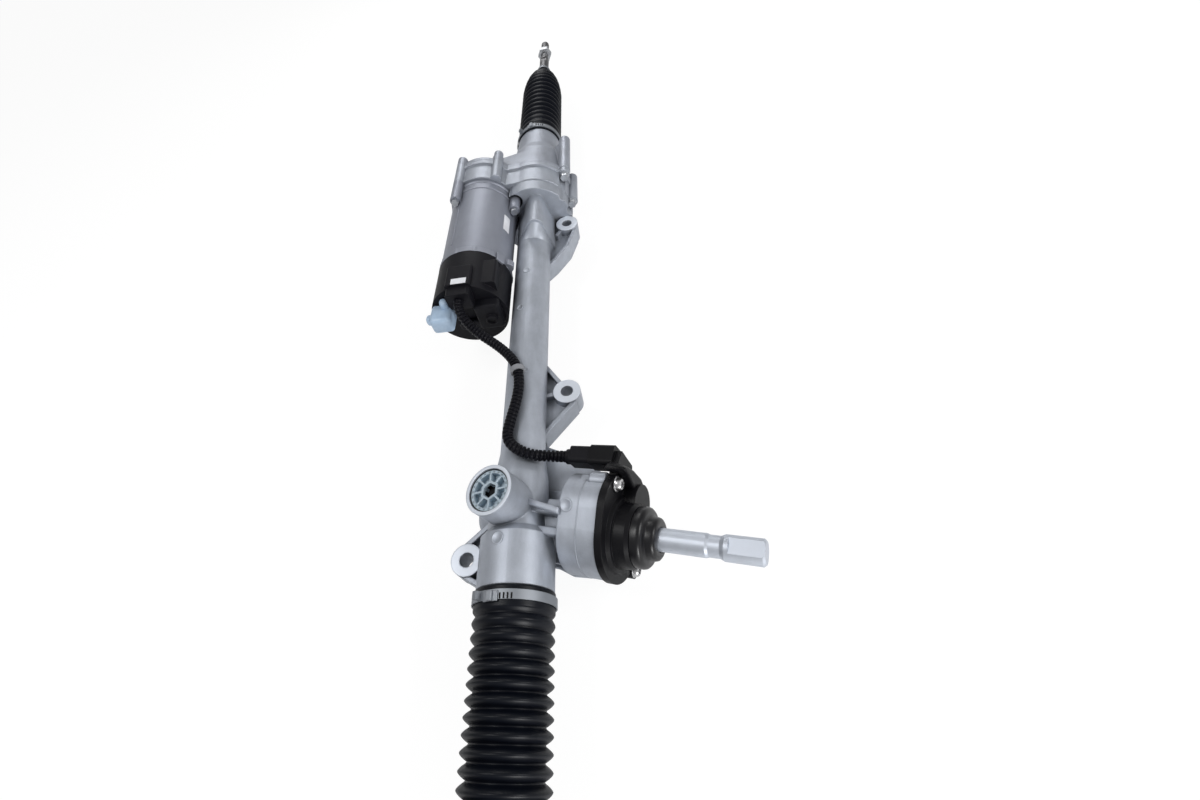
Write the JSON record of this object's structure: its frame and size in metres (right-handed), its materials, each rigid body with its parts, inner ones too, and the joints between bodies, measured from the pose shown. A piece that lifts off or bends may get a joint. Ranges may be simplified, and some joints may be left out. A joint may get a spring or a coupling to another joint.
{
  "type": "electric power steering rack",
  "caption": "Electric power steering rack with belt-driven ball nut, side motor, pinion with input shaft, bellows and inner tie rods.",
  "frame": {"origin": "centre of the near mounting ear's top face, on its bolt axis", "axes": "+X along the rack from the pinion end to the motor end, +Y to the motor's side, +Z out of the ears' top faces"},
  "size_m": [1.331, 0.2956, 0.1164],
  "materials": {
    "cast_aluminium": "satin",
    "motor_aluminium": "satin",
    "machined_steel": "brushed",
    "dark_steel": "satin",
    "zinc_steel": "satin",
    "rubber": "matte",
    "black_plastic": "matte",
    "clear_blue_plastic": "satin",
    "polymer": "matte",
    "copper_steel": "satin",
    "magnet": "matte",
    "board": "satin"
  },
  "bodies": {
    "housing": {"main_housing": "cast_aluminium", "belt_cover": "cast_aluminium", "belt_cover_screws": "zinc_steel", "motor_housing": "motor_aluminium", "motor_screws": "zinc_steel", "motor_stator": "copper_steel", "motor_bearings": "machined_steel", "motor_end_plate": "motor_aluminium", "drive_belt": "rubber", "ball_nut_bearing": "machined_steel", "bearing_lock_ring": "dark_steel", "ecu_cover": "black_plastic", "ecu_board": "board", "ecu_plug": "black_plastic", "conduit": "black_plastic", "conduit_clip": "polymer", "sensor_plug": "black_plastic", "sensor_cover": "black_plastic", "sensor_cover_screws": "zinc_steel", "sensor_board": "board", "shaft_boot": "rubber", "yoke": "motor_aluminium", "yoke_spring": "dark_steel", "yoke_o_ring": "rubber", "yoke_plug": "motor_aluminium", "rack_bush": "polymer", "pinion_cap": "motor_aluminium", "pinion_upper_bearing": "machined_steel", "pinion_lower_bearing": "machined_steel", "bearing_clip": "dark_steel", "bellows_near": "rubber", "bellows_clamp_near": "zinc_steel", "bellows_far": "rubber", "bellows_clamp_far": "zinc_steel"},
    "rack": {"rack_bar": "machined_steel", "inner_socket_near": "dark_steel", "inner_socket_far": "dark_steel", "stop_washer_near": "rubber", "stop_washer_far": "rubber", "ball_seat_near": "polymer", "ball_seat_far": "polymer"},
    "tie_rod_near": {"tie_rod_near": "dark_steel", "lock_nut_near": "zinc_steel", "bellows_clip_near": "zinc_steel"},
    "tie_rod_far": {"tie_rod_far": "dark_steel", "lock_nut_far": "zinc_steel", "bellows_clip_far": "zinc_steel"},
    "pinion": {"pinion": "machined_steel", "pinion_nut": "zinc_steel", "torsion_bar": "dark_steel", "flux_rotor": "dark_steel"},
    "input_shaft": {"input_shaft": "machined_steel", "magnet_ring": "magnet"},
    "ball_nut": {"ball_nut": "machined_steel", "nut_balls": "machined_steel", "nut_pulley": "motor_aluminium"},
    "rotor": {"motor_rotor": "machined_steel", "motor_pulley": "dark_steel"},
    "connector_cap": {"connector_cap": "clear_blue_plastic"}
  },
  "joints": [
    {"name": "rack_slide", "type": "slide", "parent": "housing", "child": "rack", "axis": [1, 0, 0], "range_m": [-0.075, 0.075], "deforming": ["bellows_near", "bellows_far"]},
    {"name": "pinion_spin", "type": "hinge", "parent": "housing", "child": "pinion", "pos_m": [0.036, -0.0487, -0.01865], "axis": [-0.2588, -0.9237, 0.2824], "range_deg": [-500, 500]},
    {"name": "nut_spin", "type": "hinge", "parent": "housing", "child": "ball_nut", "pos_m": [0.5, -0.043, 0], "axis": [1, 0, 0], "range_deg": [-3860, 3860]},
    {"name": "rotor_spin", "type": "hinge", "parent": "housing", "child": "rotor", "pos_m": [0.4, 0.02, 0.017], "axis": [1, 0, 0], "range_deg": [-11580, 11580]},
    {"name": "torsion_twist", "type": "hinge", "parent": "pinion", "child": "input_shaft", "pos_m": [0.02047, -0.10412, -0.00171], "axis": [-0.2588, -0.9237, 0.2824], "range_deg": [-5, 5], "stiffness_Nm_per_rad": 130},
    {"name": "tie_rod_swing_near", "type": "hinge", "parent": "rack", "child": "tie_rod_near", "pos_m": [-0.08, -0.043, 0], "axis": [0, 1, 0], "range_deg": [-8, 8], "deforming": ["bellows_near"]},
    {"name": "tie_rod_swing_far", "type": "hinge", "parent": "rack", "child": "tie_rod_far", "pos_m": [0.651, -0.043, 0], "axis": [0, 1, 0], "range_deg": [-8, 8], "deforming": ["bellows_far"]},
    {"name": "cap_pull", "type": "slide", "parent": "housing", "child": "connector_cap", "axis": [-1, 0, 0], "range_m": [0, 0.03]}
  ],
  "couplings": [
    {"joint": "pinion_spin", "follows": "rack_slide", "rad_per_m": -116.28},
    {"joint": "nut_spin", "follows": "rack_slide", "rad_per_m": 897.6},
    {"joint": "rotor_spin", "follows": "rack_slide", "rad_per_m": 2692.8}
  ]
}
